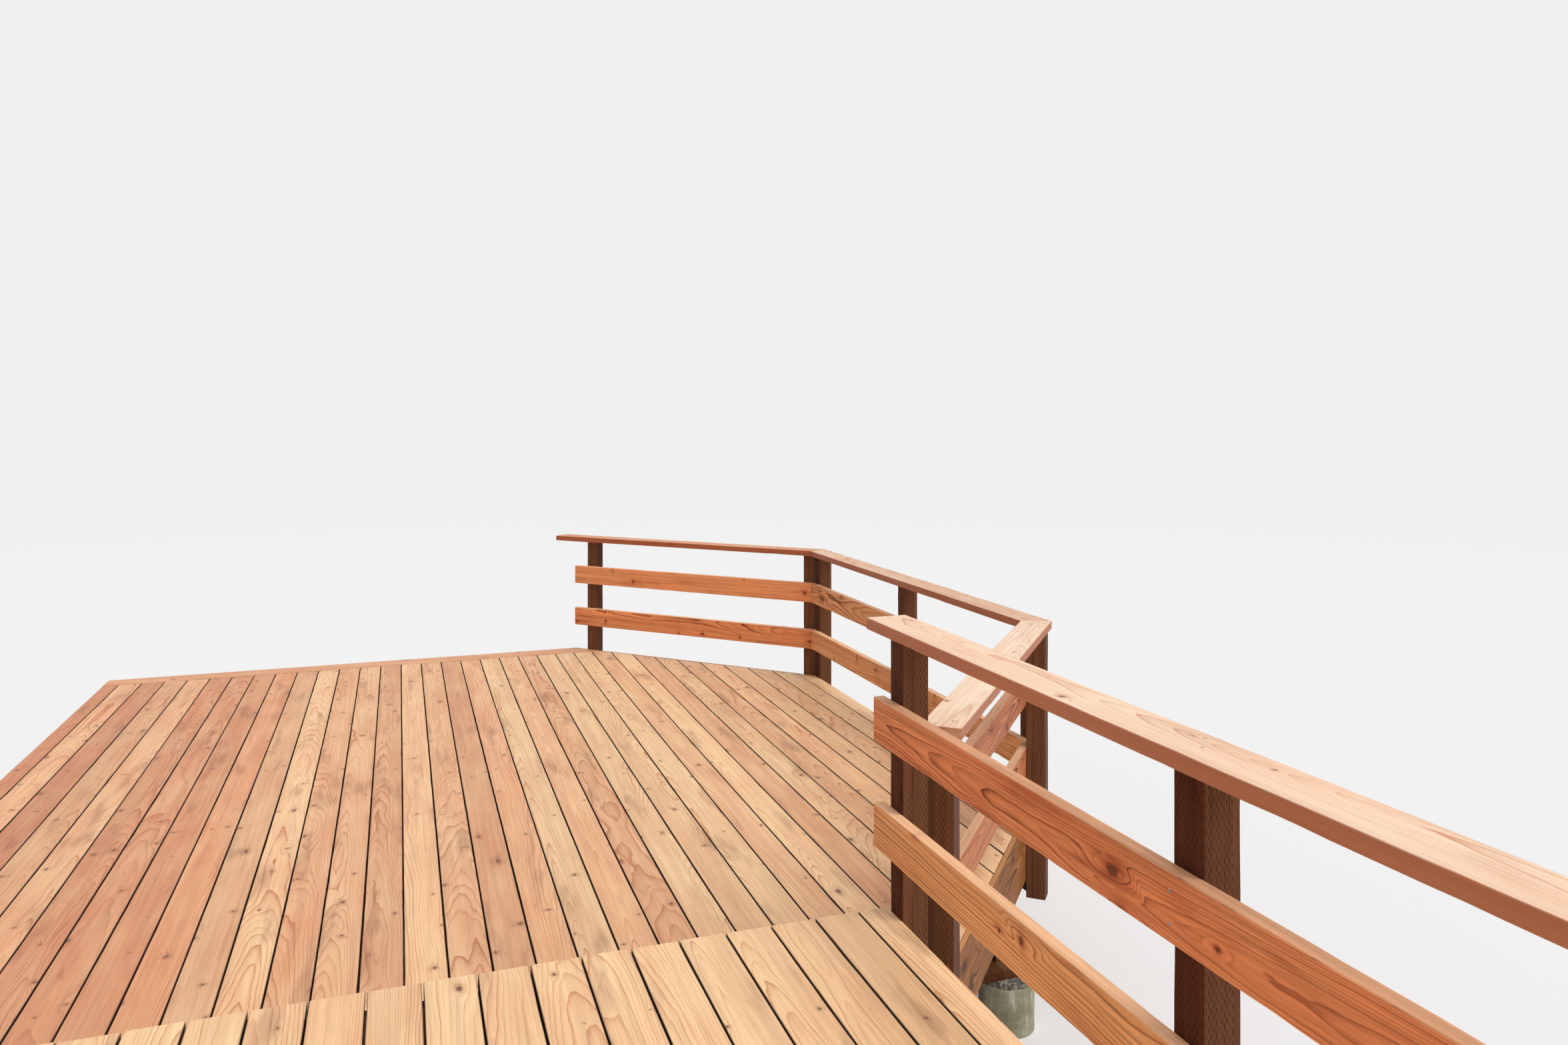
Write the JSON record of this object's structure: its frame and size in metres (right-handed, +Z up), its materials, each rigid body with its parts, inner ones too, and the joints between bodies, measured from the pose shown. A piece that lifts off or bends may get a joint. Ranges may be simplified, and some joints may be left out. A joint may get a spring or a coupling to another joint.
{
  "type": "two-level wooden deck with a step and post-and-rail guards",
  "caption": "Timber deck on two levels joined by a step, with an angled outer edge, post and rail guards with flat caps, and framing on round concrete piers.",
  "frame": {"origin": "centre of the bounding box at ground level", "axes": "+Y along the deck boards from the upper deck to the lower one, +X from the house side to the guards, +Z up"},
  "size_m": [4.9426, 10.1868, 2.097],
  "materials": {
    "deck_wood": "oiled softwood boards",
    "rail_wood": "oiled softwood with strong grain",
    "cap_wood": "pale oiled softwood",
    "fascia_wood": "oiled softwood with figured grain",
    "post_wood": "dark treated timber with incised faces",
    "treated_wood": "dark treated timber",
    "frame_wood": "plain sawn softwood",
    "concrete": "formed concrete, weathered"
  },
  "bodies": {
    "root": {"lower_deck_boards": "deck_wood", "lower_border_board": "deck_wood", "upper_deck_boards": "deck_wood", "step_treads": "deck_wood", "step_upper_riser": "deck_wood", "step_lower_riser": "deck_wood", "step_frame": "frame_wood", "lower_joists": "frame_wood", "lower_ledger": "frame_wood", "lower_far_rim": "frame_wood", "lower_near_rim": "frame_wood", "lower_side_rim": "frame_wood", "far_side_rim": "frame_wood", "near_side_rim": "frame_wood", "far_side_fascia": "fascia_wood", "near_side_fascia": "fascia_wood", "lower_beams": "treated_wood", "lower_stub_posts": "treated_wood", "lower_pier_blocks": "treated_wood", "lower_piers": "concrete", "upper_joists": "frame_wood", "upper_ledger": "frame_wood", "upper_front_rim": "frame_wood", "upper_rear_rim": "frame_wood", "upper_side_rim": "frame_wood", "upper_beams": "treated_wood", "upper_stub_posts": "treated_wood", "upper_pier_blocks": "treated_wood", "upper_piers": "concrete", "upper_guard_posts": "post_wood", "upper_guard_low_rail": "rail_wood", "upper_guard_mid_rail": "rail_wood", "upper_guard_cap": "cap_wood", "far_guard_posts": "post_wood", "far_guard_low_rail": "rail_wood", "far_guard_mid_rail": "rail_wood", "far_guard_cap": "cap_wood", "side_guard_posts": "post_wood", "side_guard_low_rail": "rail_wood", "side_guard_mid_rail": "rail_wood", "side_guard_cap": "cap_wood", "near_guard_posts": "post_wood", "near_guard_low_rail": "rail_wood", "near_guard_mid_rail": "rail_wood", "near_guard_cap": "cap_wood"}
  },
  "joints": []
}
